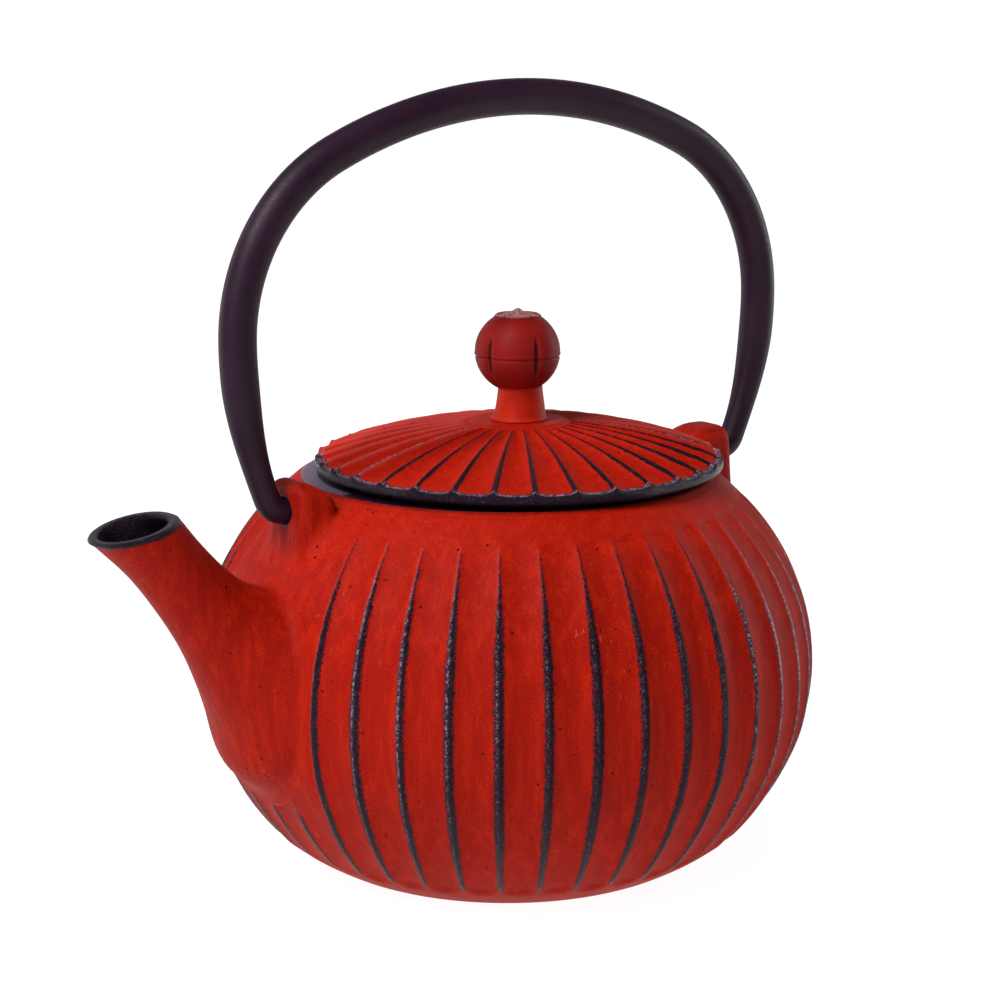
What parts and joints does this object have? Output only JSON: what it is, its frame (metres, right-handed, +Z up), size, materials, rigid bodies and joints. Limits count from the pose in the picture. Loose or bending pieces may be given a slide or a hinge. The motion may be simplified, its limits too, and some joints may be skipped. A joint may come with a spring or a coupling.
{
  "type": "teapot",
  "caption": "Fluted cast iron teapot with spout, lifting lid and round knob, swinging bail handle and removable mesh strainer basket.",
  "frame": {"origin": "centre of the foot ring, on the table", "axes": "+Z up, +X toward the spout and along the handle's hinge line"},
  "size_m": [0.1963, 0.1488, 0.1863],
  "materials": {
    "enamel_iron": "satin red enamel over black",
    "black_iron": "satin black enamel",
    "knob_iron": "satin red enamel",
    "stainless": "plain"
  },
  "bodies": {
    "pot": {"pot_base": "enamel_iron", "pot_belly": "enamel_iron", "pot_shoulder": "enamel_iron", "pot_rim": "enamel_iron", "spout": "enamel_iron", "front_lug": "enamel_iron", "rear_lug": "enamel_iron"},
    "strainer": {"strainer_rim": "stainless", "strainer_wall": "stainless", "strainer_base": "stainless", "strainer_hem": "stainless"},
    "lid_set": {"lid": "enamel_iron", "knob": "knob_iron", "knob_screw": "stainless", "knob_washer": "stainless"},
    "handle": {"bail_handle": "black_iron"}
  },
  "joints": [
    {"name": "handle_swing", "type": "hinge", "parent": "pot", "child": "handle", "pos_m": [0, 0, 0.091], "axis": [1, 0, 0], "range_deg": [-115, 115]},
    {"name": "strainer_lift", "type": "slide", "parent": "pot", "child": "strainer", "axis": [0, 0, 1], "range_m": [0, 0.043]},
    {"name": "lid_lift", "type": "slide", "parent": "strainer", "child": "lid_set", "axis": [0, 0, 1], "range_m": [0, 0.043]}
  ]
}
